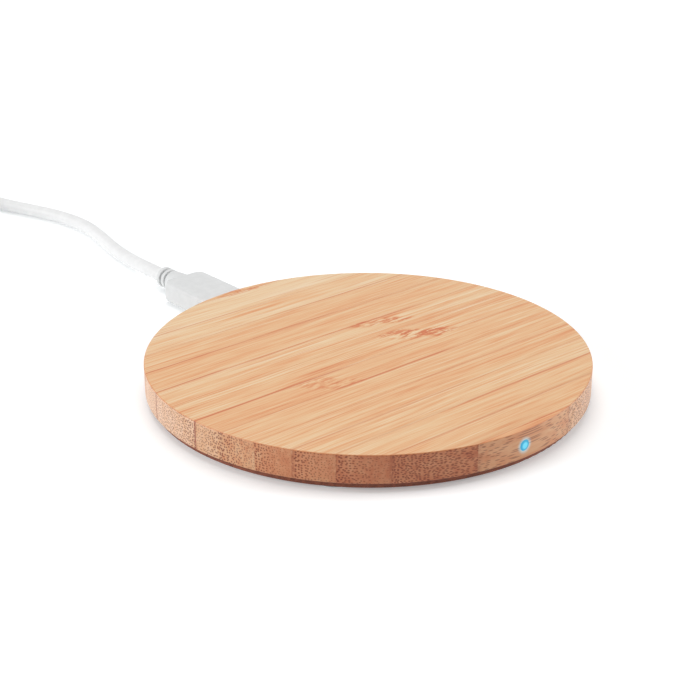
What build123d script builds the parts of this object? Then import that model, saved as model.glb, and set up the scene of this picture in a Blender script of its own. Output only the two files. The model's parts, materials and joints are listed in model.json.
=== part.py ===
from build123d import *
import math
import os

# Round bamboo wireless charging pad with its charging cable, in millimetres.
# Frame: origin on the ground under the middle of the disc, +Z up, +Y towards the USB port at the
# rear, -Y towards the status light at the front. The bamboo grain runs along X.

# ---------------------------------------------------------------- driving dimensions: the pad
PAD_D = 98.0  # bamboo disc
DISC_T = 6.3  # bamboo disc, top skin to its lower face
TOP_SKIN = 1.6  # wood left above the electronics
CAVITY_D = 80.0  # pocket milled from below
BASE_T = 1.4  # base plate
BASE_INSET = 0.9  # base plate behind the rim
FOOT_D = 8.0
FOOT_OUT = 0.5  # foot below the base plate
FOOT_RECESS = 0.4  # foot let into the base plate
FASTENER_R = 43.5  # circle of screws and feet
FASTENER_ANGLE = 40.0  # of each from the grain, so that no screw stands in a seam
BASE_EDGE_R = 0.3
FOOT_EDGE_R = 0.2
# The Y of each glue seam; the strips are of uneven width, and the first and last are slivers.
SEAMS = (-47.2, -39.6, -32.3, -25.4, -18.1, -10.5, -3.0, 4.9, 13.1, 22.4, 30.2, 37.7, 47.0)
SLATS = len(SEAMS) + 1

PAD_R = PAD_D / 2
CAVITY_R = CAVITY_D / 2
BASE_Z = FOOT_OUT
WOOD_Z = BASE_Z + BASE_T
TOP_Z = WOOD_Z + DISC_T
CEILING_Z = TOP_Z - TOP_SKIN

# ---------------------------------------------------------------- screws
SCREW_D = 2.0
SCREW_HEAD_D = 3.6
SCREW_LENGTH = 5.5
SCREW_HEAD_T = BASE_T - FOOT_RECESS
CROSS_SLOT = (2.2, 0.45, 0.5)  # length, width, depth of one arm pair of the cross recess

# ---------------------------------------------------------------- circuit board
PORT_Z = 3.1  # centre height of the USB port and its plug
BOARD_T = 0.8
BOARD_R = 36.0
BOARD_BOTTOM = PORT_Z - BOARD_T / 2
BOARD_TOP = PORT_Z + BOARD_T / 2
TAB_W = 13.0  # tab that carries the port
TAB_END_Y = 47.3
TAB_HEADROOM = 0.4  # above the tab
NOTCH_FROM_Y = 38.0  # the port's notch starts inside the cavity
NOTCH_ROOM = 0.1
FOAM_PAD = 8.0
FOAM_PAD_R = 24.0
FOAM_PADS = 4

# Chips on the board's top: each size is width, depth and height.
CONTROLLER_SIZE = (5.0, 5.0, 0.85)
CONTROLLER_AT = (-8.0, 9.0)
CONTROLLER_CHAMFER = 0.1
BRIDGE_SIZE = (3.3, 3.3, 0.9)
BRIDGE_X = 9.0
BRIDGE_YS = (5.0, 11.0)
RESONANCE_SIZE = (3.2, 2.5, 2.2)
RESONANCE_X = 28.5
RESONANCE_YS = (7.6, 11.0, 14.4, 17.8)
INPUT_SIZE = (1.6, 3.2, 1.6)
INPUT_XS = (-6.0, -3.4, 3.4, 6.0)
INPUT_Y = 31.0
RESISTOR_SIZE = (1.0, 0.5, 0.35)
CAPACITOR_SIZE = (1.0, 0.5, 0.5)
CHIP_STEP = 1.4  # between small chips in a column
ROW_STEP = 1.6  # between small chips in a row
THERMISTOR_SIZE = (1.6, 0.8, 0.8)

# ---------------------------------------------------------------- USB-C port
PORT_W = 8.94
PORT_H = 3.16
PORT_WALL = 0.3
PORT_MOUTH_Y = 48.7
PORT_BACK_Y = 40.9
PORT_BLOCK_T = 1.4
TONGUE_W = 6.69
TONGUE_T = 0.62
TONGUE_TIP_Y = 47.3
PIN_PITCH = 0.5
PIN_W = 0.25
PIN_T = 0.05
PIN_STEP_BACK = 0.3  # the pins step up to the board this far behind the shell
PIN_TAIL_T = 0.1
PIN_TAIL = 1.0
PINS_PER_SIDE = 12
PINS_USED = (0, 3, 4, 5, 6, 8, 11)  # the power, ground and data positions of a charging cable

# ---------------------------------------------------------------- coil stack under the top skin
GLUE_T = 0.1
COIL_WIRE_D = 1.1
COIL_PITCH = 1.12
COIL_INNER_D = 20.5
COIL_TURNS = 10
SHIELD_D = 48.0
SHIELD_T = 0.8
SHIELD_HOLE_D = 16.0
SHIELD_SLOT_W = 3.0

COIL_Z = CEILING_Z - GLUE_T - COIL_WIRE_D / 2
SHIELD_TOP = CEILING_Z - GLUE_T - COIL_WIRE_D
LEAD_D = 0.7
LEAD_PAD_X = 29.0  # the coil leads are soldered here
LEAD_GAP = 2.0  # between the two leads, side by side in the shield's slot
SOLDER_D = 1.9
SOLDER_TIP_D = 1.1
SOLDER_H = 0.7

# ---------------------------------------------------------------- status light
LED_X = -1.8
LED_Z = 4.8
PIPE_D = 2.4
PIPE_FLANGE_D = 3.3
PIPE_FLANGE_T = 0.7
PIPE_FLANGE_Y = -39.7
LED_SIZE = (3.2, 1.5, 1.9)  # width, depth, height

# ---------------------------------------------------------------- the cable's USB-C plug
PLUG_W = 12.2
PLUG_H = 5.3
PLUG_FACE_Y = PAD_R + 0.05
PLUG_END_Y = 71.2
PLUG_PLAN_R = 2.4
PLUG_EDGE_R = 1.0
SHELL_W = 8.25
SHELL_H = 2.4
SHELL_WALL = 0.15
SHELL_OUT = 6.65
SHELL_IN = 6.0
PLUG_SLOT = (6.9, 0.92, 5.1)  # width, height, depth of the slot for the port's tongue
PLUG_PIN_T = 0.08
PLUG_PIN_BACK = 0.7  # the blades start behind the shell's tip
PLUG_PIN_LAP = 1.5  # and end on the plug's board
PLUG_BOARD = (9.4, 8.0, 0.8)  # width, length, thickness
WIRE_D = 0.7
WIRE_PITCH = 0.8
WIRES = 4
WIRE_LAP = 2.0  # of each wire on its board

# ---------------------------------------------------------------- the plug's neck and strain relief
NECK_W = 8.4
NECK_H = 5.2
NECK_FROM_Y = 69.6
NECK_MIDDLE_Y = 72.4
NECK_MIDDLE_W = 6.8
NECK_END_Y = 74.8
RELIEF_D = 5.2
RELIEF_CORE_D = 4.2
RELIEF_END_Y = 78.7
RINGS = 2
GROOVE_W = 0.7
RING_EDGE_R = 0.25

# ---------------------------------------------------------------- the cord
CORD_D = 3.5
CORD_R = CORD_D / 2
LEAD_ROUTE = [
    (0.0, RELIEF_END_Y, PORT_Z),
    (0.0, 87.0, PORT_Z),
    (2.0, 96.0, CORD_R),
    (3.2, 106.5, CORD_R),
    (5.9, 117.5, CORD_R),
    (8.0, 129.0, CORD_R),
    (7.0, 141.0, CORD_R),
    (3.0, 153.0, CORD_R),
    (-1.0, 164.5, CORD_R),
    (-1.6, 176.5, CORD_R),
    (-0.75, 188.0, CORD_R),
]
BEND_SHARE = 0.45  # of the shorter run beside a corner, for the corner's arc
WOUND_X = -26.0  # middle of the wound-up length
WOUND_Y = 188.0
WOUND_R = 20.0  # middle of the turns
TURNS_WIDE = 4  # turns side by side, in two layers
TIE_ANGLE = 60.0
TIE_W = 9.0
TIE_T = 0.6
TAIL_LENGTH = 27.0  # from the level of the wound turns' middle to the far plug's strain relief

WOUND_OUTER_R = WOUND_R + TURNS_WIDE * CORD_R
WOUND_INNER_R = WOUND_R - TURNS_WIDE * CORD_R
WOUND_H = 2 * CORD_D

# ---------------------------------------------------------------- the far USB-A plug
A_BODY = (15.6, 22.0, 8.0)  # width, length, height
A_EDGE_R = 1.4
A_SHELL_W = 12.0
A_SHELL_H = 4.5
A_SHELL_WALL = 0.3
A_SHELL_OUT = 12.0
A_SHELL_IN = 6.0
A_WINDOW = (2.5, 2.2)  # latch windows, across and along
A_WINDOW_X = 2.6
A_WINDOW_FROM_TIP = 5.2
A_TONGUE_T = 1.95
A_CONTACTS = ((-3.5, 1.0), (-1.0, 1.0), (1.0, 1.0), (3.5, 1.0))  # place across and width
A_CONTACT_T = 0.2
A_RELIEF_D = 5.6
A_RELIEF_LENGTH = 10.0
A_BOARD = (11.0, 9.0, 0.8)  # width, length, thickness of the small board behind the contacts
A_PIN_BACK = 2.0  # the contacts reach this far onto the board

A_Z = A_BODY[2] / 2
A_X = WOUND_X - WOUND_OUTER_R + CORD_R - 0.9
A_RELIEF_Y = WOUND_Y - TAIL_LENGTH
A_BODY_Y = A_RELIEF_Y - A_RELIEF_LENGTH
A_FACE_Y = A_BODY_Y - A_BODY[1]
A_TIP_Y = A_FACE_Y - A_SHELL_OUT


def block(x, y, z, centre):
    """A box by its size and its middle."""
    return Pos(*centre) * Box(x, y, z)


def along_y(radius, y_from, y_to, x=0.0, z=0.0):
    """A round bar along Y."""
    bar = Rot(90, 0, 0) * Cylinder(radius, y_to - y_from)
    return Pos(x, (y_from + y_to) / 2, z) * bar


def section(y, x=0.0, z=PORT_Z):
    """A plane across the cable's axis at y, with its own X along +X and its own Y up."""
    return Plane(origin=(x, y, z), x_dir=(1, 0, 0), z_dir=(0, -1, 0))


def flat_oval(width, height, y_from, y_to, z=PORT_Z):
    """A bar along Y with the stadium section of a USB-C connector."""
    oval = section(y_to, z=z) * SlotOverall(width, height)
    return extrude(oval, amount=y_to - y_from)


def fastener_places():
    """The middles of the screws and feet, one in each quarter of the disc."""
    x = FASTENER_R * math.cos(math.radians(FASTENER_ANGLE))
    y = FASTENER_R * math.sin(math.radians(FASTENER_ANGLE))
    return [(x, y), (-x, y), (-x, -y), (x, -y)]


# ---------------------------------------------------------------- bamboo disc
def bamboo_disc():
    """The whole disc, milled, before it is told apart into its slats."""
    disc = Pos(0, 0, WOOD_Z + DISC_T / 2) * Cylinder(PAD_R, DISC_T)
    depth = CEILING_Z - WOOD_Z
    disc -= Pos(0, 0, WOOD_Z + depth / 2) * Cylinder(CAVITY_R, depth)
    disc -= along_y(PIPE_D / 2, -PAD_R - 1, -CAVITY_R + 2, LED_X, LED_Z)
    disc -= port_notch()
    for x, y in fastener_places():
        pilot = Pos(x, y, WOOD_Z + SCREW_LENGTH / 2) * Cylinder(SCREW_D / 2, SCREW_LENGTH)
        disc -= pilot
    return disc


def port_notch():
    """Room for the port and the board's tab, open to the base plate."""
    port_top = PORT_Z + PORT_H / 2 + NOTCH_ROOM / 2
    port_length = PAD_R + 1 - NOTCH_FROM_Y
    notch = block(PORT_W + NOTCH_ROOM, port_length, port_top - WOOD_Z + 1,
                  (0, NOTCH_FROM_Y + port_length / 2, (port_top + WOOD_Z - 1) / 2))
    tab_top = BOARD_TOP + TAB_HEADROOM
    tab_length = TAB_END_Y + NOTCH_ROOM - NOTCH_FROM_Y
    notch += block(TAB_W + 2 * NOTCH_ROOM, tab_length, tab_top - WOOD_Z + 1,
                   (0, NOTCH_FROM_Y + tab_length / 2, (tab_top + WOOD_Z - 1) / 2))
    return notch


def slat_edges():
    """The Y of each seam, with the two ends of the disc."""
    return [-PAD_R - 1, *SEAMS, PAD_R + 1]


def slat(disc, y_from, y_to):
    """One glued slat of the disc."""
    return disc & block(2 * PAD_R + 2, y_to - y_from, 4 * DISC_T, (0, (y_from + y_to) / 2, WOOD_Z))


# ---------------------------------------------------------------- base plate, screws, feet
def base_plate():
    plate = Pos(0, 0, BASE_Z + BASE_T / 2) * Cylinder(PAD_R - BASE_INSET, BASE_T)
    plate = fillet(plate.edges().group_by(Axis.Z)[0], BASE_EDGE_R)
    for x, y in fastener_places():
        plate -= Pos(x, y, BASE_Z + FOOT_RECESS / 2) * Cylinder(FOOT_D / 2, FOOT_RECESS)
        head = Cone(SCREW_HEAD_D / 2, SCREW_D / 2, SCREW_HEAD_T)
        plate -= Pos(x, y, WOOD_Z - SCREW_HEAD_T / 2) * head
    under_port = PORT_Z - PORT_H / 2 - NOTCH_ROOM / 2
    relief_length = PAD_R + 1 - PORT_BACK_Y + NOTCH_ROOM
    plate -= block(PORT_W + NOTCH_ROOM, relief_length, BASE_T,
                   (0, PAD_R + 1 - relief_length / 2, under_port + BASE_T / 2))
    return plate


def base_screws():
    """Countersunk wood screws, one under each foot."""
    screws = []
    length, width, depth = CROSS_SLOT
    head_z = WOOD_Z - SCREW_HEAD_T
    for x, y in fastener_places():
        screw = Pos(x, y, WOOD_Z - SCREW_HEAD_T / 2) * Cone(SCREW_HEAD_D / 2, SCREW_D / 2, SCREW_HEAD_T)
        screw += Pos(x, y, WOOD_Z + SCREW_LENGTH / 2) * Cylinder(SCREW_D / 2, SCREW_LENGTH)
        screw -= block(length, width, depth, (x, y, head_z + depth / 2))
        screw -= block(width, length, depth, (x, y, head_z + depth / 2))
        screws.append(screw)
    return screws


def rubber_foot(x, y):
    height = FOOT_OUT + FOOT_RECESS
    foot = Pos(x, y, height / 2) * Cylinder(FOOT_D / 2, height)
    return fillet(foot.edges().group_by(Axis.Z)[0], FOOT_EDGE_R)


# ---------------------------------------------------------------- board and its parts
def circuit_board():
    board = Cylinder(BOARD_R, BOARD_T)
    tab_from = BOARD_R - 4
    board += block(TAB_W, TAB_END_Y - tab_from, BOARD_T, (0, (TAB_END_Y + tab_from) / 2, 0))
    cut_out = TAB_END_Y - PORT_BACK_Y + 2
    board -= block(PORT_W + 0.1, cut_out, 2 * BOARD_T, (0, PORT_BACK_Y - PIN_STEP_BACK + cut_out / 2, 0))
    return Pos(0, 0, PORT_Z) * board


def board_foam_pads():
    height = BOARD_BOTTOM - WOOD_Z
    places = PolarLocations(FOAM_PAD_R, FOAM_PADS, start_angle=180 / FOAM_PADS)
    return [Pos(0, 0, WOOD_Z + height / 2) * place * Box(FOAM_PAD, FOAM_PAD, height) for place in places]


def on_board(size, x, y, turn=0.0):
    """A chip on the board's top: width, depth, height."""
    return Pos(x, y, BOARD_TOP + size[2] / 2) * Rot(0, 0, turn) * Box(*size)


def controller_chip():
    chip = on_board(CONTROLLER_SIZE, *CONTROLLER_AT)
    return chamfer(chip.edges().group_by(Axis.Z)[-1], CONTROLLER_CHAMFER)


def bridge_chips():
    """The two half bridges that drive the coil."""
    return [on_board(BRIDGE_SIZE, BRIDGE_X, y) for y in BRIDGE_YS]


def resonance_capacitors():
    return [on_board(RESONANCE_SIZE, RESONANCE_X, y) for y in RESONANCE_YS]


def input_capacitors():
    return [on_board(INPUT_SIZE, x, INPUT_Y) for x in INPUT_XS]


def chip_resistors():
    """A column beside the controller, a row by the light and a row by the port."""
    beside = [on_board(RESISTOR_SIZE, -13.0, 5.5 + CHIP_STEP * i) for i in range(6)]
    front = [on_board(RESISTOR_SIZE, LED_X + 4.0 + 2.0 * i, -33.2) for i in range(3)]
    rear = [on_board(RESISTOR_SIZE, x, 35.4) for x in (-4.0, -2.0, 2.0, 4.0)]
    return beside + front + rear


def chip_capacitors():
    """Rows above and below the controller and a column beside the bridges."""
    above = [on_board(CAPACITOR_SIZE, -11.2 + ROW_STEP * i, 13.4) for i in range(5)]
    below = [on_board(CAPACITOR_SIZE, -11.2 + ROW_STEP * i, 4.6) for i in range(5)]
    drivers = [on_board(CAPACITOR_SIZE, 12.6, 4.0 + CHIP_STEP * i) for i in range(6)]
    return above + below + drivers


def thermistor():
    """The coil's temperature sensor, in the middle of the coil."""
    return on_board(THERMISTOR_SIZE, 0.0, 0.0)


def status_led():
    width, depth, height = LED_SIZE
    body = block(width, depth, height, (LED_X, -BOARD_R + depth / 2 + 0.2, BOARD_TOP + height / 2))
    window = along_y(0.65, -BOARD_R + 0.05, -BOARD_R + 0.2, LED_X, BOARD_TOP + height / 2)
    return body + window


def light_pipe():
    """Clear rod from the cavity to the rim, with a flange inside."""
    rod = along_y(PIPE_D / 2, -PAD_R + 0.04, PIPE_FLANGE_Y, LED_X, LED_Z)
    flange = along_y(PIPE_FLANGE_D / 2, PIPE_FLANGE_Y, PIPE_FLANGE_Y + PIPE_FLANGE_T, LED_X, LED_Z)
    return rod + flange


# ---------------------------------------------------------------- USB-C port
def usb_port_shell():
    shell = flat_oval(PORT_W, PORT_H, PORT_BACK_Y, PORT_MOUTH_Y)
    shell -= flat_oval(PORT_W - 2 * PORT_WALL, PORT_H - 2 * PORT_WALL, PORT_BACK_Y - 1, PORT_MOUTH_Y + 1)
    foot_w = 1.5
    for side in (-1, 1):
        for y in (42.6, 46.0):
            shell += block(foot_w, 1.1, PORT_WALL,
                           (side * (PORT_W / 2 + foot_w / 2 - 0.3), y, BOARD_TOP + PORT_WALL / 2))
    return shell


def pin_places():
    """The place across and the side, up or down, of each pin; the lower row is the upper one turned over."""
    first = -(PINS_PER_SIDE - 1) * PIN_PITCH / 2
    upper = [(first + i * PIN_PITCH, 1) for i in PINS_USED]
    return upper + [(-x, -side) for x, side in upper]


def usb_port_contacts():
    """Each pin is a blade along the tongue, a step behind the shell and a tail on the board."""
    pins = []
    blade_tip = TONGUE_TIP_Y - 0.6
    step_back = PORT_BACK_Y - PIN_STEP_BACK
    step_front = step_back + 2 * PIN_TAIL_T
    face = TONGUE_T / 2
    step_h = BOARD_T / 2 + PIN_TAIL_T - face
    for x, side in pin_places():
        pin = block(PIN_W, blade_tip - step_back, PIN_T,
                    (x, (blade_tip + step_back) / 2, PORT_Z + side * (face + PIN_T / 2)))
        pin += block(PIN_W, step_front - step_back, step_h,
                     (x, (step_front + step_back) / 2, PORT_Z + side * (face + step_h / 2)))
        pin += block(PIN_W, PIN_TAIL, PIN_TAIL_T,
                     (x, step_back - PIN_TAIL / 2, PORT_Z + side * (BOARD_T + PIN_TAIL_T) / 2))
        pins.append(pin)
    return pins


def usb_port_tongue(pins):
    """The insulator: a block at the back of the shell and the tongue that stands out of it."""
    front = PORT_BACK_Y + PORT_BLOCK_T
    body = flat_oval(PORT_W - 2 * PORT_WALL, PORT_H - 2 * PORT_WALL, PORT_BACK_Y, front)
    body += block(TONGUE_W, TONGUE_TIP_Y - front, TONGUE_T, (0, (TONGUE_TIP_Y + front) / 2, PORT_Z))
    for pin in pins:
        body -= pin
    return body


# ---------------------------------------------------------------- coil stack
def coil_adhesive():
    ring = Cylinder(COIL_INNER_D / 2 + COIL_TURNS * COIL_PITCH, GLUE_T)
    ring -= Cylinder(COIL_INNER_D / 2, 2 * GLUE_T)
    return Pos(0, 0, CEILING_Z - GLUE_T / 2) * ring


def spiral_arcs():
    """Half circles whose radius grows by half a pitch each, so that they join smoothly."""
    start = COIL_INNER_D / 2 + COIL_WIRE_D / 2
    arcs = []
    for i in range(2 * COIL_TURNS):
        radius = start + i * COIL_PITCH / 2
        centre = (COIL_PITCH / 2 * (i % 2), 0, COIL_Z)
        arcs.append(CenterArc(centre, radius, 180 * (i % 2), 180))
    return arcs


def transmitter_coil():
    path = Wire([arc.edge() for arc in spiral_arcs()])
    return sweep(Plane(path @ 0, z_dir=path % 0) * Circle(COIL_WIRE_D / 2), path=path)


def coil_lead(x, side):
    """A lead from an end of the coil, through the shield's slot and out to its solder pad."""
    y = side * LEAD_GAP / 2
    run_z = SHIELD_TOP - SHIELD_T / 2
    corners = [
        (x, 0, COIL_Z),
        (x, y, COIL_Z),
        (x, y, run_z),
        (LEAD_PAD_X, y, run_z),
        (LEAD_PAD_X, y, BOARD_TOP),
    ]
    path = FilletPolyline(*corners, radius=LEAD_D / 2 + 0.02)
    return sweep(Plane(path @ 0, z_dir=path % 0) * Circle(LEAD_D / 2), path=path)


def coil_lead_inner():
    return coil_lead(COIL_INNER_D / 2 + COIL_WIRE_D / 2, -1)


def coil_lead_outer():
    return coil_lead(COIL_INNER_D / 2 + COIL_WIRE_D / 2 + COIL_TURNS * COIL_PITCH, 1)


def coil_solder_joints(leads):
    """The two solder cones that hold the coil's leads to the board."""
    joints = []
    for side, lead in zip((-1, 1), leads):
        cone = Cone(SOLDER_D / 2, SOLDER_TIP_D / 2, SOLDER_H)
        joints.append(Pos(LEAD_PAD_X, side * LEAD_GAP / 2, BOARD_TOP + SOLDER_H / 2) * cone - lead)
    return joints


def ferrite_shield():
    shield = Cylinder(SHIELD_D / 2, SHIELD_T) - Cylinder(SHIELD_HOLE_D / 2, 2 * SHIELD_T)
    shield -= block(SHIELD_D, SHIELD_SLOT_W, 2 * SHIELD_T, (SHIELD_D / 2, 0, 0))
    return Pos(0, 0, SHIELD_TOP - SHIELD_T / 2) * shield


# ---------------------------------------------------------------- the cable's USB-C plug
def plug_shell():
    y_from = PLUG_FACE_Y - SHELL_OUT
    y_to = PLUG_FACE_Y + SHELL_IN
    shell = flat_oval(SHELL_W, SHELL_H, y_from, y_to)
    return shell - flat_oval(SHELL_W - 2 * SHELL_WALL, SHELL_H - 2 * SHELL_WALL, y_from - 1, y_to + 1)


def plug_contacts():
    """Spring blades above and below the slot, long enough to reach the plug's board."""
    y_from = PLUG_FACE_Y - SHELL_OUT + PLUG_PIN_BACK
    length = SHELL_OUT - PLUG_PIN_BACK + SHELL_IN + PLUG_PIN_LAP
    face = PLUG_BOARD[2] / 2
    return [
        block(PIN_W, length, PLUG_PIN_T, (x, y_from + length / 2, PORT_Z + side * (face + PLUG_PIN_T / 2)))
        for x, side in pin_places()
    ]


def plug_insulator(pins):
    """Fills the shell, with the slot for the port's tongue."""
    width, height, depth = PLUG_SLOT
    y_from = PLUG_FACE_Y - SHELL_OUT + 0.1
    y_to = PLUG_FACE_Y + SHELL_IN
    body = flat_oval(SHELL_W - 2 * SHELL_WALL, SHELL_H - 2 * SHELL_WALL, y_from, y_to)
    body -= block(width, depth + 1, height, (0, y_from + (depth - 1) / 2, PORT_Z))
    for pin in pins:
        body -= pin
    return body


def plug_board():
    width, length, thickness = PLUG_BOARD
    y_from = PLUG_FACE_Y + SHELL_IN
    return block(width, length, thickness, (0, y_from + length / 2, PORT_Z))


def wires(x, y_from, y_to, board_top):
    """The cord's conductors side by side on a plug's board, running to its strain relief."""
    first = x - (WIRES - 1) * WIRE_PITCH / 2
    z = board_top + WIRE_D / 2
    return [along_y(WIRE_D / 2, y_from, y_to, first + i * WIRE_PITCH, z) for i in range(WIRES)]


def plug_wires():
    board_end = PLUG_FACE_Y + SHELL_IN + PLUG_BOARD[1]
    return wires(0.0, board_end - WIRE_LAP, NECK_END_Y, PORT_Z + PLUG_BOARD[2] / 2)


def plug_overmould(inside):
    """The moulded grip, which flares into a neck for the cord."""
    length = PLUG_END_Y - PLUG_FACE_Y
    grip = block(PLUG_W, length, PLUG_H, (0, PLUG_FACE_Y + length / 2, PORT_Z))
    upright = grip.edges().filter_by(Axis.Z).group_by(Axis.Y)[-1]
    grip = fillet(upright, PLUG_PLAN_R)
    faces = grip.faces().sort_by(Axis.Z)
    rims = [e for face in (faces[0], faces[-1]) for e in face.edges() if e.center().Y > PLUG_FACE_Y + 0.01]
    grip = fillet(rims, PLUG_EDGE_R)
    grip += loft([
        section(NECK_FROM_Y) * Ellipse(NECK_W / 2, NECK_H / 2),
        section(NECK_MIDDLE_Y) * Ellipse(NECK_MIDDLE_W / 2, NECK_H / 2),
        section(NECK_END_Y) * Ellipse(RELIEF_D / 2 + 0.01, RELIEF_D / 2),
    ])
    for piece in inside:
        grip -= piece
    return grip


def ringed_relief(x, z, y_from, y_to, rings, outer_d, core_d):
    """A core with raised rings on it, the last ring at y_to."""
    relief = along_y(core_d / 2, min(y_from, y_to), max(y_from, y_to), x, z)
    step = (y_to - y_from) / rings
    way = 1 if y_to > y_from else -1
    for i in range(rings):
        ring_from = y_from + i * step + way * GROOVE_W
        ring_to = y_from + (i + 1) * step
        ring = along_y(outer_d / 2, min(ring_from, ring_to), max(ring_from, ring_to), x, z)
        relief += fillet(ring.edges().filter_by(GeomType.CIRCLE), RING_EDGE_R)
    return relief


def plug_strain_relief():
    return ringed_relief(0.0, PORT_Z, NECK_END_Y, RELIEF_END_Y, RINGS, RELIEF_D, RELIEF_CORE_D)


# ---------------------------------------------------------------- the cord
def bend_radii(route):
    """The arc at each corner of the route, as large as its two runs allow."""
    points = [Vector(*p) for p in route]
    radii = []
    for before, here, after in zip(points, points[1:], points[2:]):
        turn = (here - before).get_angle(after - here)
        shorter = min((here - before).length, (after - here).length)
        radii.append(BEND_SHARE * shorter / math.tan(math.radians(turn / 2)))
    return radii


def cord_lead(wound):
    """The cord from the strain relief to the wound-up length, lying on the ground."""
    radii = bend_radii(LEAD_ROUTE)
    path = FilletPolyline(*LEAD_ROUTE, radius=radii)
    tube = sweep(Plane(path @ 0, z_dir=path % 0) * Circle(CORD_R), path=path)
    print("cord_lead bends, mm:", [round(r, 1) for r in radii])
    plain = math.pi * CORD_R**2 * path.length
    print("cord_lead volume / (section x length):", round(tube.volume / plain, 4))
    print("cord_lead length, mm:", round(path.length, 1))
    return tube - wound


def tie_frame(room):
    """The space round the turns that the tie takes up, larger than the turns by room on every side."""
    across = WOUND_OUTER_R - WOUND_INNER_R + 2 * room
    frame = Box(across, TIE_W, WOUND_H + room)
    return Pos(WOUND_X, WOUND_Y, 0) * Rot(0, 0, TIE_ANGLE) * Pos(WOUND_R, 0, (WOUND_H + room) / 2) * frame


def cord_tie():
    inner = tie_frame(0) & (Pos(0, 0, WOUND_H / 2 + TIE_T) * Box(4 * WOUND_Y, 4 * WOUND_Y, WOUND_H))
    return tie_frame(TIE_T) - inner


def cord_wound(tie):
    """The put-away length: two layers of turns, as their outer shape."""
    turns = Cylinder(WOUND_OUTER_R, WOUND_H)
    turns = fillet(turns.edges(), CORD_R - 0.05)
    hole = Cylinder(WOUND_INNER_R, WOUND_H)
    return Pos(WOUND_X, WOUND_Y, WOUND_H / 2) * (turns - hole) - tie


def cord_tail(wound):
    """The cord from the top turn down to the far plug."""
    start = Vector(A_X, WOUND_Y - 8, WOUND_H - CORD_R)
    end = Vector(A_X, A_RELIEF_Y, A_Z)
    run = Line(start, end)
    tube = sweep(Plane(run @ 0, z_dir=run % 0) * Circle(CORD_R), path=run)
    tube &= block(4 * CORD_D, WOUND_Y, 4 * CORD_D, (A_X, A_RELIEF_Y + WOUND_Y / 2, A_Z))
    return tube - wound


# ---------------------------------------------------------------- the far USB-A plug
def usb_a_shell():
    length = A_SHELL_OUT + A_SHELL_IN
    middle = (A_X, A_TIP_Y + length / 2, A_Z)
    shell = block(A_SHELL_W, length, A_SHELL_H, middle)
    shell = fillet(shell.edges().filter_by(Axis.Y), 0.5)
    shell -= block(A_SHELL_W - 2 * A_SHELL_WALL, length + 2, A_SHELL_H - 2 * A_SHELL_WALL, middle)
    across, along = A_WINDOW
    for side in (-1, 1):
        x = A_X + side * A_WINDOW_X
        shell -= block(across, along, A_SHELL_H + 2, (x, A_TIP_Y + A_WINDOW_FROM_TIP + along / 2, A_Z))
    return shell


def usb_a_contacts():
    """The four blades on the insulator's upper side; the outer two are the longer ones."""
    blades = []
    floor = A_Z - A_SHELL_H / 2 + A_SHELL_WALL
    y_to = A_FACE_Y + A_SHELL_IN + A_PIN_BACK
    for i, (across, width) in enumerate(A_CONTACTS):
        y_from = A_TIP_Y + (1.5 if i in (0, 3) else 2.5)
        blades.append(block(width, y_to - y_from, A_CONTACT_T,
                            (A_X + across, (y_from + y_to) / 2, floor + A_TONGUE_T - A_CONTACT_T / 2)))
    return blades


def usb_a_insulator(blades):
    floor = A_Z - A_SHELL_H / 2 + A_SHELL_WALL
    width = A_SHELL_W - 2 * A_SHELL_WALL
    length = A_SHELL_OUT + A_SHELL_IN - 0.4
    body = block(width, length, A_TONGUE_T, (A_X, A_TIP_Y + 0.4 + length / 2, floor + A_TONGUE_T / 2))
    back = A_SHELL_IN - 1
    height = A_SHELL_H - 2 * A_SHELL_WALL
    body += block(width, back, height, (A_X, A_FACE_Y + A_SHELL_IN - back / 2, A_Z))
    for blade in blades:
        body -= blade
    return body


def usb_a_board_top():
    """The board lies under the contacts' back ends."""
    return A_Z - A_SHELL_H / 2 + A_SHELL_WALL + A_TONGUE_T - A_CONTACT_T


def usb_a_board():
    width, length, thickness = A_BOARD
    return block(width, length, thickness,
                 (A_X, A_FACE_Y + A_SHELL_IN + length / 2, usb_a_board_top() - thickness / 2))


def usb_a_wires():
    board_end = A_FACE_Y + A_SHELL_IN + A_BOARD[1]
    return wires(A_X, board_end - WIRE_LAP, A_BODY_Y, usb_a_board_top())


def usb_a_overmould(inside):
    width, length, height = A_BODY
    grip = block(width, length, height, (A_X, A_FACE_Y + length / 2, A_Z))
    grip = fillet(grip.edges().filter_by(Axis.Y), A_EDGE_R)
    grip = fillet(grip.faces().sort_by(Axis.Y)[-1].edges(), A_EDGE_R - 0.4)
    for piece in inside:
        grip -= piece
    return grip


def usb_a_strain_relief():
    return ringed_relief(A_X, A_Z, A_BODY_Y, A_RELIEF_Y, 4, A_RELIEF_D, RELIEF_CORE_D)


# ---------------------------------------------------------------- write the parts
def write(name, shape):
    """Writes one node; a list is a group of separate solids."""
    solids = shape if isinstance(shape, list) else [shape]
    whole = Compound(children=[Part(solid.wrapped) for solid in solids]) if len(solids) > 1 else solids[0]
    export_step(whole, os.path.join("parts", name + ".step"))


os.makedirs("parts", exist_ok=True)
DISC = bamboo_disc()
EDGES = slat_edges()
for i in range(SLATS):
    write(f"bamboo_slat_{i + 1:02d}", slat(DISC, EDGES[i], EDGES[i + 1]))
write("base_plate", base_plate())
write("base_screws", base_screws())
for i, (x, y) in enumerate(fastener_places()):
    write(f"rubber_foot_{i + 1}", rubber_foot(x, y))

write("circuit_board", circuit_board())
write("board_foam_pads", board_foam_pads())
write("controller_chip", controller_chip())
write("bridge_chips", bridge_chips())
write("resonance_capacitors", resonance_capacitors())
write("input_capacitors", input_capacitors())
write("chip_resistors", chip_resistors())
write("chip_capacitors", chip_capacitors())
write("thermistor", thermistor())
write("status_led", status_led())
write("light_pipe", light_pipe())

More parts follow.
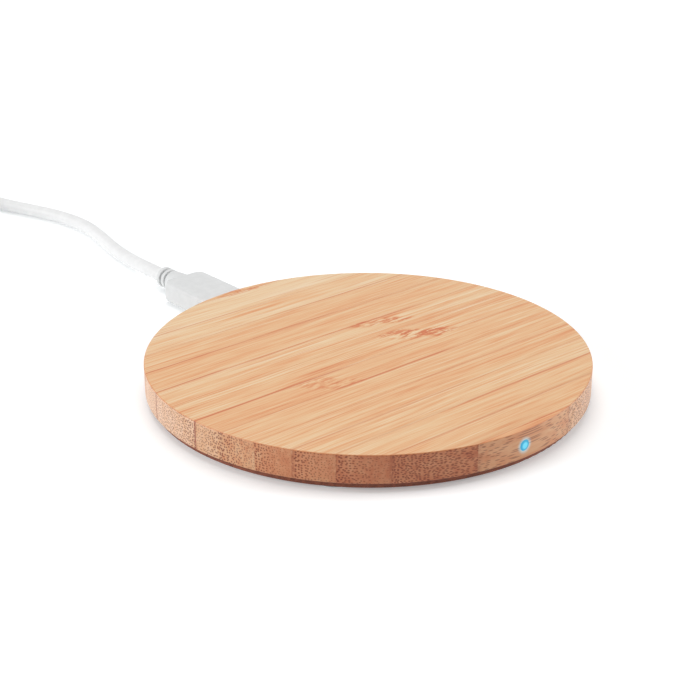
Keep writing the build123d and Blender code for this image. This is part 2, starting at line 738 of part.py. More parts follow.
PORT_PINS = usb_port_contacts()
write("usb_port_shell", usb_port_shell())
write("usb_port_contacts", PORT_PINS)
write("usb_port_tongue", usb_port_tongue(PORT_PINS))

LEADS = [coil_lead_inner(), coil_lead_outer()]
write("coil_adhesive", coil_adhesive())
write("transmitter_coil", transmitter_coil())
write("ferrite_shield", ferrite_shield())
write("coil_lead_inner", LEADS[0])
write("coil_lead_outer", LEADS[1])
write("coil_solder_joints", coil_solder_joints(LEADS))

PLUG_PINS = plug_contacts()
PLUG_INSIDE = [flat_oval(SHELL_W, SHELL_H, PLUG_FACE_Y, PLUG_FACE_Y + SHELL_IN), plug_board()]
write("plug_shell", plug_shell())
write("plug_contacts", PLUG_PINS)
write("plug_insulator", plug_insulator(PLUG_PINS))
write("plug_board", plug_board())
write("plug_wires", plug_wires())
write("plug_overmould", plug_overmould(PLUG_INSIDE + PLUG_PINS + plug_wires()))
write("plug_strain_relief", plug_strain_relief())

TIE = cord_tie()
WOUND = cord_wound(TIE)
write("cord_tie", TIE)
write("cord_wound", WOUND)
write("cord_lead", cord_lead(WOUND))
write("cord_tail", cord_tail(WOUND))

A_PINS = usb_a_contacts()
A_INSIDE = [block(A_SHELL_W, A_SHELL_IN, A_SHELL_H, (A_X, A_FACE_Y + A_SHELL_IN / 2, A_Z)), usb_a_board()]
write("usb_a_shell", usb_a_shell())
write("usb_a_contacts", A_PINS)
write("usb_a_insulator", usb_a_insulator(A_PINS))
write("usb_a_board", usb_a_board())
write("usb_a_wires", usb_a_wires())
write("usb_a_overmould", usb_a_overmould(A_INSIDE + A_PINS + usb_a_wires()))
write("usb_a_strain_relief", usb_a_strain_relief())
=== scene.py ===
import json
import math

import bmesh
import bpy
from mathutils import Matrix, Vector


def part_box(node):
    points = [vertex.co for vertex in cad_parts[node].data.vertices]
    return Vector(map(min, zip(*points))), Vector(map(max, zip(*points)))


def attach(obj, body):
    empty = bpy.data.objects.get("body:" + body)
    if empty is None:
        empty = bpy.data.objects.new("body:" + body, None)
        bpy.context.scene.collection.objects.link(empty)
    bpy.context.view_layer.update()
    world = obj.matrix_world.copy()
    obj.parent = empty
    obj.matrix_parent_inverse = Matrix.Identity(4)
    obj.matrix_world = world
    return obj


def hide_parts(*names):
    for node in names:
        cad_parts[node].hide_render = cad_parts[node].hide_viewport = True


# The looks of a round bamboo wireless charging pad and its cable, in metres.
# Frame: origin on the ground under the middle of the disc, +Z up, +Y to the USB port at the rear,
# -Y to the status light at the front, and the bamboo's grain along X.

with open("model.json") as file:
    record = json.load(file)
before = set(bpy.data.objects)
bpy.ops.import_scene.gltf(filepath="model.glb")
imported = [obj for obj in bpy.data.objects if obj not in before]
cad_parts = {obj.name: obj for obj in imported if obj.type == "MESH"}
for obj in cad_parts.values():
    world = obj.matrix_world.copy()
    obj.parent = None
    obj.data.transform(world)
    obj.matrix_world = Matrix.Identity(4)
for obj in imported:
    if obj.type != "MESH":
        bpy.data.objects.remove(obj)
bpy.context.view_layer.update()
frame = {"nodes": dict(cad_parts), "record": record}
NODES = frame["nodes"]
MM = 0.001


# ---------------------------------------------------------------- sizes that the frame gives
SLAT_NAMES = sorted(name for name in NODES if name.startswith("bamboo_slat_"))
PAD_LOW = Vector(min(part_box(name)[0][i] for name in SLAT_NAMES) for i in range(3))
PAD_HIGH = Vector(max(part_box(name)[1][i] for name in SLAT_NAMES) for i in range(3))
PAD_R = (PAD_HIGH.y - PAD_LOW.y) / 2
WOOD_Z = PAD_LOW.z
TOP_Z = PAD_HIGH.z
CEILING_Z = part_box("coil_adhesive")[1].z
PIPE_LOW, PIPE_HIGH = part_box("light_pipe")
LED_X = (PIPE_LOW.x + PIPE_HIGH.x) / 2
LED_Z = (PIPE_LOW.z + PIPE_HIGH.z) / 2

# ---------------------------------------------------------------- the pad: CAD sizes and fine edges
CAVITY_R = 40 * MM
RIM_EDGE_R = 0.28 * MM
RIM_STEPS = 5
BOTTOM_CHAMFER = 0.12 * MM
SEAM_GAP = 0.004 * MM  # each slat stops this far before its seam
SEAM_CHAMFER = 0.03 * MM
ON_SEAM = 1e-7  # a vertex this near to the seam's plane lies in it
TURN_SEGMENTS = 384
ROD_SEGMENTS = 64
SMOOTH_ANGLE = 35  # degrees; edges sharper than this stay sharp
PIPE_D = 2.4 * MM
NOTCH_W = 9.04 * MM
NOTCH_FROM_Y = 38 * MM
NOTCH_TOP_Z = 4.73 * MM
TAB_W = 13.2 * MM
TAB_END_Y = 47.4 * MM
TAB_TOP_Z = 3.9 * MM
SCREW_D = 2 * MM
SCREW_TOP_Z = 7.4 * MM
CUT_PAST = 1 * MM  # cutters run this far past the wood
PIPE_CUT_IN = 2 * MM  # and the pipe's this far into the cavity

# ---------------------------------------------------------------- the cord
CORD_D = 3.5 * MM
CORD_R = CORD_D / 2
CORD_ORDER = 3
CORD_RESOLUTION = 10  # curve points for each route point
CORD_BEVEL_STEPS = 8
# From here the route, the coil and the strap are in millimetres and degrees.
LEAD_ROUTE = [
    (0.0, 78.7, 3.1),
    (0.0, 87.0, 3.1),
    (2.0, 96.0, 1.75),
    (3.2, 106.5, 1.75),
    (5.9, 117.5, 1.75),
    (8.0, 129.0, 1.75),
    (7.0, 141.0, 1.75),
    (3.0, 153.0, 1.75),
    (-1.0, 164.5, 1.75),
    (-1.6, 176.5, 1.75),
    (-0.75, 188.0, 1.75),
]
COIL_MIDDLE = (-26.0, 188.0)
COIL_STEPS = 16  # route points in a turn
COIL_OUTER_R = 25.25
COIL_INNER_R = 14.75
COIL_LAST_R = 26.15
LOWER_TURNS = 3.0
CLIMB_TURNS = 0.25
UPPER_TURNS = 3.25
LOWER_Z = 1.75
UPPER_Z = 5.25
TIE_ANGLE = 60.0
TIE_LIFT = 0.6  # the lower turns rise over the tie
TIE_LIFT_SPAN = 40.0  # degrees to each side
COIL_MEAN_R = 20.0
BUNDLE_W = 14.0
BUNDLE_H = 7.0
TIE_W = 9.0
TIE_T = 0.6
TIE_CORNER_R = 1.7
STRAP_CORNER_STEPS = 8
STRAP_EDGE = 0.12
STRAP_END_T = 0.5
STRAP_END_INSET = 0.6  # the free end is this much narrower
STRAP_SMOOTH_ANGLE = 50
TAIL = [(-52.15, 180.0, 5.0), (-52.15, 172.0, 4.4), (-52.15, 166.0, 4.05), (-52.15, 161.0, 4.0)]


# ---------------------------------------------------------------- materials
class Look:
    """A material's node tree, written with one call per node."""

    def __init__(self, name):
        self.material = bpy.data.materials.new(name)
        self.material.use_nodes = True
        self.nodes = self.material.node_tree.nodes
        self.links = self.material.node_tree.links
        self.nodes.clear()
        output = self.nodes.new("ShaderNodeOutputMaterial")
        self.shader = self.nodes.new("ShaderNodeBsdfPrincipled")
        self.links.new(self.shader.outputs[0], output.inputs["Surface"])
        self.where = self.nodes.new("ShaderNodeTexCoord")

    def feed(self, socket, value):
        if isinstance(value, bpy.types.NodeSocket):
            self.links.new(value, socket)
        else:
            socket.default_value = value

    def set(self, **sockets):
        """Sets or links the shader's sockets, named with _ for each space."""
        for name, value in sockets.items():
            self.feed(self.shader.inputs[name.replace("_", " ")], value)

    def math(self, operation, a, b=0.0, clamp=False):
        node = self.nodes.new("ShaderNodeMath")
        node.operation = operation
        node.use_clamp = clamp
        self.feed(node.inputs[0], a)
        self.feed(node.inputs[1], b)
        return node.outputs[0]

    def total(self, *values):
        result = values[0]
        for value in values[1:]:
            result = self.math("ADD", result, value)
        return result

    def product(self, *values):
        result = values[0]
        for value in values[1:]:
            result = self.math("MULTIPLY", result, value)
        return result

    def millimetres(self):
        node = self.nodes.new("ShaderNodeVectorMath")
        node.operation = "SCALE"
        self.feed(node.inputs[0], self.where.outputs["Object"])
        node.inputs["Scale"].default_value = 1 / MM
        return node.outputs[0]

    def split(self, vector):
        node = self.nodes.new("ShaderNodeSeparateXYZ")
        self.feed(node.inputs[0], vector)
        return node.outputs

    def join(self, x, y, z):
        node = self.nodes.new("ShaderNodeCombineXYZ")
        for socket, value in zip(node.inputs, (x, y, z)):
            self.feed(socket, value)
        return node.outputs[0]

    def stretched(self, vector, scale, offset=(0, 0, 0)):
        """The vector times scale plus offset, part by part."""
        node = self.nodes.new("ShaderNodeVectorMath")
        node.operation = "MULTIPLY_ADD"
        self.feed(node.inputs[0], vector)
        node.inputs[1].default_value = scale
        node.inputs[2].default_value = offset
        return node.outputs[0]

    def noise(self, vector, scale=1.0, detail=2.0, roughness=0.5):
        node = self.nodes.new("ShaderNodeTexNoise")
        self.feed(node.inputs["Vector"], vector)
        node.inputs["Scale"].default_value = scale
        node.inputs["Detail"].default_value = detail
        node.inputs["Roughness"].default_value = roughness
        return node.outputs["Fac"]

    def ramp(self, value, stops):
        """Colours by value; the first and last hold beyond the ends."""
        low, high = stops[0][0], stops[-1][0]
        scaled = self.nodes.new("ShaderNodeMapRange")
        self.feed(scaled.inputs["Value"], value)
        scaled.inputs["From Min"].default_value = low
        scaled.inputs["From Max"].default_value = high
        node = self.nodes.new("ShaderNodeValToRGB")
        self.links.new(scaled.outputs["Result"], node.inputs["Fac"])
        elements = node.color_ramp.elements
        while len(elements) < len(stops):
            elements.new(0.5)
        for element, (place, tint) in zip(elements, stops):
            element.position = (place - low) / (high - low)
            element.color = tint
        return node.outputs["Color"]

    def cells(self, vector, randomness):
        """Distance to the nearest of a spread of points in the vector's first two parts."""
        node = self.nodes.new("ShaderNodeTexVoronoi")
        node.voronoi_dimensions = "2D"
        self.feed(node.inputs["Vector"], vector)
        node.inputs["Scale"].default_value = 1.0
        node.inputs["Randomness"].default_value = randomness
        return node.outputs["Distance"]

    def off_axis(self, x, z, axis_x, axis_z):
        """How far a place is from an axis along Y."""
        away_x = self.math("SUBTRACT", x, axis_x)
        away_z = self.math("SUBTRACT", z, axis_z)
        away = self.nodes.new("ShaderNodeVectorMath")
        away.operation = "LENGTH"
        self.feed(away.inputs[0], self.join(away_x, 0.0, away_z))
        return away.outputs["Value"]

    def step(self, value, low, high):
        """0 at low to 1 at high, eased; low may be the larger."""
        node = self.nodes.new("ShaderNodeMapRange")
        node.interpolation_type = "SMOOTHSTEP"
        self.feed(node.inputs["Value"], value)
        self.feed(node.inputs["From Min"], low)
        self.feed(node.inputs["From Max"], high)
        return node.outputs["Result"]

    def spread(self, value, low, high):
        """A value of 0 to 1 as low to high."""
        node = self.nodes.new("ShaderNodeMapRange")
        self.feed(node.inputs["Value"], value)
        node.inputs["To Min"].default_value = low
        node.inputs["To Max"].default_value = high
        return node.outputs["Result"]

    def mix(self, factor, a, b):
        node = self.nodes.new("ShaderNodeMix")
        node.data_type = "RGBA"
        self.feed(node.inputs["Factor"], factor)
        colours = [s for s in node.inputs if s.type == "RGBA"]
        self.feed(colours[0], a)
        self.feed(colours[1], b)
        return [s for s in node.outputs if s.type == "RGBA"][0]

    def bump(self, height, strength, distance):
        node = self.nodes.new("ShaderNodeBump")
        node.inputs["Strength"].default_value = strength
        node.inputs["Distance"].default_value = distance
        self.feed(node.inputs["Height"], height)
        self.links.new(node.outputs[0], self.shader.inputs["Normal"])


def colour(red, green, blue):
    """A colour on screen, 0 to 255, as the linear one that a shader takes, by the sRGB curve."""
    linear = []
    for part in (red, green, blue):
        c = part / 255
        linear.append(c / 12.92 if c <= 0.04045 else ((c + 0.055) / 1.055) ** 2.4)
    return (*linear, 1.0)


TOP_TONES = [
    (-0.4, colour(231, 209, 179)),
    (0.0, colour(228, 200, 163)),
    (0.35, colour(225, 187, 144)),
    (0.7, colour(222, 171, 126)),
    (1.05, colour(216, 148, 102)),
    (1.4, colour(202, 116, 76)),
]
# The rim's colours, pale to deep; the palest also serve as a painted sheen at the rim's edge-on
# ends.
RIM_TONES = [
    (-0.3, colour(227, 190, 160)),
    (0.2, colour(216, 168, 128)),
    (0.6, colour(205, 139, 98)),
    (1.0, colour(190, 112, 74)),
    (1.4, colour(165, 88, 56)),
]
DARK_LINE = colour(210, 131, 86)
RIM_DOT = colour(122, 54, 33)
GLUE_TOP = colour(198, 104, 66)
GLUE_RIM = colour(142, 62, 40)
EDGE_TINT = colour(206, 126, 76)
LIGHT_SPILL = colour(20, 180, 205)
BLACK = (0.0, 0.0, 0.0, 1.0)

# Noise scales for a millimetre along X, Y and Z: the grain is long in X and fine across it.
WANDER_SCALE = (0.014, 0.05, 0.05)
BAND_SCALE = (0.012, 0.55, 0.3)
STREAK_SCALE = (0.03, 1.5, 0.9)
HAIR_SCALE = (0.07, 4.6, 3.0)
LINE_SCALE = (0.03, 3.0, 2.4)
DASH_SCALE = (0.34, 1.7, 1.1)
SEED_STEP = (17.3, 31.7, 7.9)  # from one slat's noise to the next slat's
WANDER = 2.2  # a line strays by up to half of this to each side
GRAIN_RISE = 0.011  # how far a line climbs in a millimetre along X

# How much each pattern changes the tone.
BAND_DEPTH = 1.4
STREAK_DEPTH = 1.8
HAIR_DEPTH = 2.0
RIM_BAND_DEPTH = 0.8
RIM_STREAK_DEPTH = 1.0
MARK_DARK = 0.9
MARK_PALE = -0.4

# How much of each colour is laid over the wood.
MARK_COVER = 0.45
LINE_COVER = 0.6
DOT_COVER = 0.9
EDGE_COVER = 0.55
GLUE_COVER = 0.75

DOT_RANDOMNESS = 0.75
SPILL_FROM = 0.95  # slats that start beyond this share of the radius catch the lamp's light
SPILL_GLOW = 0.65
PIPE_GLOW = 0.95
WOOD_RELIEF = 0.06 * MM
BASE_RELIEF = 0.04 * MM
PLAIN_RELIEF = 0.02 * MM

# Each slat from the front: its tone on the top, from 0, pale, to 1, deep; its tone on the rim at
# the left and at the right end, partly the wood's colour and partly painted light, as the paler
# ends stand in for a painted sheen where the rim is seen edge-on; the strength of its streaks; how
# dense its bundles of fibre are at its front and at its rear side; and how many bundles there are
# in a millimetre.
SLATS = [
    dict(tone=0.90, rim=(0.45, 0.35), streaks=0.7, fibres=(0.45, 0.45), fine=2.1),
    dict(tone=0.54, rim=(0.85, 0.10), streaks=0.6, fibres=(0.80, 0.95), fine=2.6),
    dict(tone=0.50, rim=(0.85, 0.15), streaks=0.6, fibres=(0.15, 1.0), fine=1.9),
    dict(tone=0.40, rim=(0.65, 0.1), streaks=1.1, fibres=(0.20, 1.0), fine=1.8),
    dict(tone=0.54, rim=(0.65, 0.1), streaks=1.0, fibres=(0.0, 1.0), fine=1.8),
    dict(tone=0.55, rim=(0.36, 0.2), streaks=0.8, fibres=(0.4, 1.0), fine=1.75),
    dict(tone=0.66, rim=(0.14, 0.2), streaks=0.8, fibres=(1.0, 0.5), fine=1.75),
    dict(tone=0.49, rim=(-0.1, 0.2), streaks=1.3, fibres=(1.0, 0.7), fine=1.9),
    dict(tone=0.45, rim=(-0.15, 0.2), streaks=1.2, fibres=(0.8, 0.7), fine=2.0),
    dict(tone=0.60, rim=(-0.1, 0.3), streaks=0.7, fibres=(0.7, 0.5), fine=2.1),
    dict(tone=0.54, rim=(0.30, 0.4), streaks=0.8, fibres=(0.4, 1.0), fine=1.9),
    dict(tone=0.22, rim=(0.35, 0.3), streaks=1.1, fibres=(0.9, 0.3), fine=1.8),
    dict(tone=0.18, rim=(0.30, 0.3), streaks=0.9, fibres=(0.3, 0.9), fine=1.9),
    dict(tone=0.40, rim=(0.60, 0.5), streaks=0.8, fibres=(0.8, 0.5), fine=2.2),
]
# Each glue line from the front: how dark it is, and from where to where along X it is darkest.
GLUE_LINES = [
    (0.3, -60, 60),
    (0.6, -30, 30),
    (0.8, -5, 60),
    (0.5, -60, 10),
    (0.5, -5, 60),
    (1.0, -14, 15),
    (1.0, -60, -8),
    (0.3, 15, 60),
    (1.0, -60, 25),
    (0.8, -60, 8),
    (0.5, 0, 60),
    (0.6, -60, -5),
    (0.3, -60, 60),
]
# Node marks, where the bamboo's walls met: middle, half length along X, half width across,
# slant as X for each Y, and strength.
NODE_MARKS = [
    dict(x=19.5, y=-1.4, long=5.5, wide=2.6, slant=-0.8, strength=1.0),
    dict(x=14.0, y=0.8, long=5.5, wide=2.6, slant=-1.0, strength=0.8),
    dict(x=12.0, y=3.2, long=5.5, wide=2.4, slant=-1.2, strength=0.8),
    dict(x=11.5, y=12.0, long=6.5, wide=1.9, slant=-1.6, strength=0.8),
    dict(x=17.0, y=9.6, long=4.0, wide=1.7, slant=-1.2, strength=0.9),
    dict(x=-17.0, y=-7.0, long=6.5, wide=4.2, slant=-0.9, strength=0.4),
    dict(x=1.0, y=47.6, long=9.0, wide=1.6, slant=0.0, strength=0.7),
]


def glue_line(look, x, y, seam_y, line):
    """The darkness of one glue line at a place."""
    strength, x_from, x_to = line
    off_seam = look.math("ABSOLUTE", look.math("SUBTRACT", y, seam_y))
    near = look.step(off_seam, 0.3 + 0.2 * strength, 0.08)
    inside = look.product(look.step(x, x_from - 6, x_from + 6), look.step(x, x_to + 6, x_to - 6))
    return look.product(near, look.spread(inside, 0.25 * strength, strength))


def node_mark(look, x, y, dashes, mark):
    """How dark and how pale a node mark makes a place."""
    off_y = look.math("SUBTRACT", y, mark["y"])
    from_middle = look.math("SUBTRACT", x, mark["x"])
    off_x = look.math("SUBTRACT", from_middle, look.product(off_y, mark["slant"]))
    far_x = look.math("ABSOLUTE", off_x)
    far_y = look.math("ABSOLUTE", off_y)
    window = look.product(look.step(far_x, mark["long"], 0.3 * mark["long"]),
                          look.step(far_y, mark["wide"], 0.75 * mark["wide"]))
    dark = look.product(window, look.step(dashes, 0.45, 0.57), mark["strength"])
    pale = look.product(window, look.step(dashes, 0.44, 0.35), mark["strength"])
    return dark, pale


def bamboo(index, low_y, high_y):
    """Bamboo with its fibres along X: lines on the top, dots where the rim cuts them across."""
    own = SLATS[index]
    low_y, high_y = low_y / MM, high_y / MM
    look = Look(f"bamboo_{index + 1:02d}")
    place = look.millimetres()
    seed = tuple(step * index for step in SEED_STEP)

    wander = look.noise(look.stretched(place, WANDER_SCALE, seed), detail=1.0)
    x, y, z = look.split(place)
    shifted_y = look.total(y, look.product(look.math("SUBTRACT", wander, 0.5), WANDER))
    shifted_z = look.total(z, look.product(x, GRAIN_RISE))
    along = look.join(x, shifted_y, shifted_z)

    bands = look.noise(look.stretched(along, BAND_SCALE, seed), detail=2.0)
    streaks = look.noise(look.stretched(along, STREAK_SCALE, seed), detail=4.0, roughness=0.68)
    hairs = look.noise(look.stretched(along, HAIR_SCALE, seed), detail=2.0, roughness=0.6)
    lines = look.noise(look.stretched(along, LINE_SCALE, seed), detail=2.0)

    # bundles of fibre: thick and dark where they are dense, small and faint elsewhere
    across = look.math("DIVIDE", look.math("SUBTRACT", y, low_y), high_y - low_y, clamp=True)
    dense = look.spread(across, *own["fibres"])
    fine = own["fine"]
    cut_place = look.join(look.product(shifted_y, fine), look.product(shifted_z, fine), 0.0)
    bundle = look.cells(cut_place, DOT_RANDOMNESS)
    dots = look.product(
        look.step(bundle, look.spread(dense, 0.22, 0.44), look.spread(dense, 0.05, 0.22)),
        look.spread(dense, 0.35, 1.0),
    )

    tone = look.total(
        own["tone"],
        look.product(look.math("SUBTRACT", bands, 0.5), BAND_DEPTH * own["streaks"]),
        look.product(look.math("SUBTRACT", streaks, 0.5), STREAK_DEPTH * own["streaks"]),
        look.product(look.math("SUBTRACT", hairs, 0.5), HAIR_DEPTH),
    )
    dashes = look.noise(look.stretched(along, DASH_SCALE, seed), detail=2.0, roughness=0.6)
    marked = None
    for mark in NODE_MARKS:
        if mark["y"] + mark["wide"] < low_y or mark["y"] - mark["wide"] > high_y:
            continue
        dark, pale = node_mark(look, x, y, dashes, mark)
        tone = look.total(tone, look.product(dark, MARK_DARK), look.product(pale, MARK_PALE))
        marked = dark if marked is None else look.math("MAXIMUM", marked, dark)
    top = look.ramp(tone, TOP_TONES)
    if marked is not None:
        top = look.mix(look.product(marked, MARK_COVER), top, GLUE_TOP)
    line_share = look.product(look.step(lines, 0.58, 0.72), LINE_COVER * own["streaks"])
    top = look.mix(line_share, top, DARK_LINE)

    # the rim, told by the normal, is deeper in tone and a little glossier than the top
    normal = look.split(look.where.outputs["Normal"])
    rim = look.step(normal[2], 0.90, 0.45)
    # the rim's tone from its left end to its right, with bands and streaks; the paler ends are
    # partly painted sheen where the rim is seen edge-on
    rim_tone_and_painted_sheen = look.total(
        look.spread(look.step(x, -5, 12), *own["rim"]),
        look.product(look.math("SUBTRACT", bands, 0.5), RIM_BAND_DEPTH),
        look.product(look.math("SUBTRACT", streaks, 0.5), RIM_STREAK_DEPTH),
    )
    rim_wood = look.mix(look.product(dots, DOT_COVER), look.ramp(rim_tone_and_painted_sheen, RIM_TONES), RIM_DOT)
    wood = look.mix(rim, top, rim_wood)
    edge = look.product(look.step(normal[2], 0.985, 0.85), look.step(normal[2], 0.15, 0.5))
    wood = look.mix(look.product(edge, EDGE_COVER), wood, EDGE_TINT)

    glue = 0.0
    for seam_y, line in ((low_y, index - 1), (high_y, index)):
        if 0 <= line < len(GLUE_LINES):
            glue = look.math("MAXIMUM", glue, glue_line(look, x, y, seam_y, GLUE_LINES[line]))
    glue = look.product(glue, look.step(streaks, 0.30, 0.52), GLUE_COVER)
    wood = look.mix(glue, wood, look.mix(rim, GLUE_TOP, GLUE_RIM))

    rough = look.total(look.spread(streaks, 0.42, 0.58), look.product(rim, -0.14))
    look.set(Base_Color=wood, Roughness=rough, Specular_IOR_Level=0.4)
    if low_y < -PAD_R / MM * SPILL_FROM:
        spill = look.step(look.off_axis(x, z, LED_X / MM, LED_Z / MM), 2.1, 1.1)
        spill_tint = look.mix(look.product(spill, rim), BLACK, LIGHT_SPILL)
        look.set(Emission_Color=spill_tint, Emission_Strength=SPILL_GLOW)
    look.bump(look.total(look.product(streaks, 0.6), look.product(dots, -0.5)), 0.4, WOOD_RELIEF)
    return look.material


def plain(name, tint, shade, roughness, metallic=0.0, grain=1.5, relief=0.15, **sockets):
    """A material with a faint mottle of two colours and a fine surface."""
    look = Look(name)
    place = look.millimetres()
    mottle = look.noise(place, grain, detail=3.0)
    fine = look.noise(place, 9 * grain, detail=2.0)
    look.set(
        Base_Color=look.mix(look.step(mottle, 0.3, 0.7), tint, shade),
        Roughness=look.spread(fine, roughness * 0.85, roughness * 1.15),
        Metallic=metallic,
        **sockets,
    )
    look.bump(fine, relief, PLAIN_RELIEF)
    return look.material


PLAIN = dict(
    foot_rubber=plain("foot_rubber", colour(205, 206, 204), colour(190, 191, 190), 0.45, grain=0.8),
    screw_steel=plain("screw_steel", colour(190, 191, 194), colour(170, 171, 176), 0.3, 1.0),
    foam=plain("foam", colour(236, 235, 230), colour(214, 213, 208), 0.9, grain=4.0, relief=0.6),
    board_green=plain("board_green", colour(24, 104, 58), colour(18, 84, 46), 0.35, grain=0.6),
    chip_black=plain("chip_black", colour(40, 40, 42), colour(30, 30, 32), 0.5, grain=3.0),
    capacitor_tan=plain("capacitor_tan", colour(178, 140, 98), colour(160, 122, 84),
                        0.4, grain=2.0),
    led_white=plain("led_white", colour(240, 240, 232), colour(226, 226, 214), 0.3),
    connector_steel=plain("connector_steel", colour(214, 215, 216), colour(200, 201, 203),
                          0.32, 1.0),
    contact_gold=plain("contact_gold", colour(232, 190, 98), colour(218, 172, 80), 0.25, 1.0),
    connector_black=plain("connector_black", colour(34, 34, 35), colour(26, 26, 27),
                          0.5, grain=3.0),
    connector_white=plain("connector_white", colour(238, 238, 234), colour(226, 226, 222), 0.45),
    adhesive_film=plain("adhesive_film", colour(228, 222, 196), colour(214, 206, 176), 0.4),
    copper_litz=plain("copper_litz", colour(204, 124, 76), colour(178, 98, 56),
                      0.35, 0.85, grain=5.0, relief=0.5),
    solder=plain("solder", colour(206, 207, 210), colour(180, 182, 188), 0.28, 1.0, grain=2.0),
    ferrite=plain("ferrite", colour(62, 62, 65), colour(50, 50, 53), 0.6, grain=2.5),
    wire_insulation=plain("wire_insulation", colour(176, 40, 34), colour(160, 32, 28), 0.4),
    tie_fabric=plain("tie_fabric", colour(228, 228, 228), colour(206, 206, 206),
                     0.85, grain=4.0, relief=0.8),
    cable_white=plain("cable_white", colour(218, 219, 219), colour(213, 214, 214),
                      0.5, grain=0.5, relief=0.1, Specular_IOR_Level=0.35),
    cord_white=plain("cord_white", colour(232, 232, 232), colour(227, 227, 227),
                     0.45, grain=0.5, relief=0.1, Specular_IOR_Level=0.35),
)


def dark_bamboo():
    """Bamboo for the base plate, coloured darker brown than the slats."""
    look = Look("dark_bamboo")
    place = look.millimetres()
    streaks = look.noise(look.stretched(place, (0.03, 1.6, 1.6)), detail=3.0, roughness=0.6)
    hairs = look.noise(look.stretched(place, (0.06, 6.0, 6.0)), detail=2.0)
    wood = look.mix(look.step(streaks, 0.3, 0.7), colour(146, 78, 50), colour(110, 55, 35))
    wood = look.mix(look.product(look.step(hairs, 0.5, 0.7), 0.5), wood, colour(76, 38, 27))
    look.set(Base_Color=wood, Roughness=look.spread(streaks, 0.45, 0.65))
    look.bump(hairs, 0.3, BASE_RELIEF)
    return look.material


def lit_pipe():
    """Clear rod with the blue light behind it."""
    look = Look("light_pipe_blue")
    place = look.millimetres()
    x, y, z = look.split(place)
    # the bright core is a little off the rod's middle
    core = look.step(look.off_axis(x, z, LED_X / MM + 0.15, LED_Z / MM - 0.12), 1.0, 0.45)
    glow = look.mix(core, colour(0, 150, 196), colour(104, 208, 236))
    look.set(Base_Color=(0.01, 0.08, 0.10, 1.0), Roughness=0.3, Emission_Color=glow,
             Emission_Strength=PIPE_GLOW)
    return look.material


PLAIN["dark_bamboo"] = dark_bamboo()
PLAIN["light_pipe_blue"] = lit_pipe()


# ---------------------------------------------------------------- mesh helpers
def add_mesh(name, mesh_builder, body, material_slot, material, *replaced):
    """A new piece from a bmesh, riding on a body in the place of the nodes it replaces."""
    mesh = bpy.data.meshes.new(name)
    mesh_builder.to_mesh(mesh)
    mesh_builder.free()
    piece = bpy.data.objects.new(name, mesh)
    bpy.context.scene.collection.objects.link(piece)
    piece.data.materials.append(material)
    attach(piece, body)
    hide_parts(*replaced)
    return piece


def smooth(mesh, angle=SMOOTH_ANGLE):
    for face in mesh.polygons:
        face.use_smooth = True
    mesh.set_sharp_from_angle(angle=math.radians(angle))


def turned(outline, segments):
    """A bmesh turned round Z from radii and heights, closed flat at its first and last ring."""
    made = bmesh.new()
    rings = []
    for radius, height in outline:
        ring = []
        for i in range(segments):
            angle = 2 * math.pi * i / segments
            place = (radius * math.cos(angle), radius * math.sin(angle), height)
            ring.append(made.verts.new(place))
        rings.append(ring)
    for upper, lower in zip(rings, rings[1:]):
        for i in range(segments):
            j = (i + 1) % segments
            made.faces.new((upper[i], lower[i], lower[j], upper[j]))
    made.faces.new(rings[0])
    made.faces.new(list(reversed(rings[-1])))
    return made


def disc_outline():
    """The disc from the top's rounded edge, down the rim and into the cavity."""
    outline = []
    for i in range(RIM_STEPS + 1):
        turn = math.pi / 2 * i / RIM_STEPS
        outline.append((PAD_R - RIM_EDGE_R * (1 - math.sin(turn)),
                        TOP_Z - RIM_EDGE_R * (1 - math.cos(turn))))
    outline.append((PAD_R, WOOD_Z + BOTTOM_CHAMFER))
    outline.append((PAD_R - BOTTOM_CHAMFER, WOOD_Z))
    outline.append((CAVITY_R, WOOD_Z))
    outline.append((CAVITY_R, CEILING_Z))
    return outline


def bar(size, middle):
    """A bmesh box for cutting with."""
    made = bmesh.new()
    place = Matrix.Translation(middle) @ Matrix.Diagonal((*size, 1.0))
    bmesh.ops.create_cube(made, size=1.0, matrix=place)
    return made


def rod(radius, length, middle, along_y=False):
    """A bmesh cylinder for cutting with, upright or along Y."""
    made = bmesh.new()
    turn = Matrix.Rotation(math.pi / 2, 4, "X") if along_y else Matrix.Identity(4)
    bmesh.ops.create_cone(made, cap_ends=True, segments=ROD_SEGMENTS, radius1=radius,
                          radius2=radius, depth=length, matrix=Matrix.Translation(middle) @ turn)
    return made


def cutters():
    """What is cut out of the wood: the pipe's hole, the port's notch and the pilot holes."""
    pipe_length = PAD_R + CUT_PAST - CAVITY_R + PIPE_CUT_IN
    pipe_middle = (LED_X, -PAD_R - CUT_PAST + pipe_length / 2, LED_Z)
    made = [rod(PIPE_D / 2, pipe_length, pipe_middle, along_y=True)]
    notch_length = PAD_R + CUT_PAST - NOTCH_FROM_Y
    notch_height = NOTCH_TOP_Z - WOOD_Z + CUT_PAST
    made.append(bar((NOTCH_W, notch_length, notch_height),
                    (0, NOTCH_FROM_Y + notch_length / 2, NOTCH_TOP_Z - notch_height / 2)))
    tab_length = TAB_END_Y - NOTCH_FROM_Y
    tab_height = TAB_TOP_Z - WOOD_Z + CUT_PAST
    made.append(bar((TAB_W, tab_length, tab_height),
                    (0, NOTCH_FROM_Y + tab_length / 2, TAB_TOP_Z - tab_height / 2)))
    for i in range(4):
        low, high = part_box(f"rubber_foot_{i + 1}")
        pilot_height = SCREW_TOP_Z - WOOD_Z + CUT_PAST
        across, along = (low.x + high.x) / 2, (low.y + high.y) / 2
        pilot_middle = (across, along, SCREW_TOP_Z - pilot_height / 2)
        made.append(rod(SCREW_D / 2, pilot_height, pilot_middle))
    return made


def as_object(name, made):
    mesh = bpy.data.meshes.new(name)
    made.to_mesh(mesh)
    made.free()
    thing = bpy.data.objects.new(name, mesh)
    bpy.context.scene.collection.objects.link(thing)
    return thing


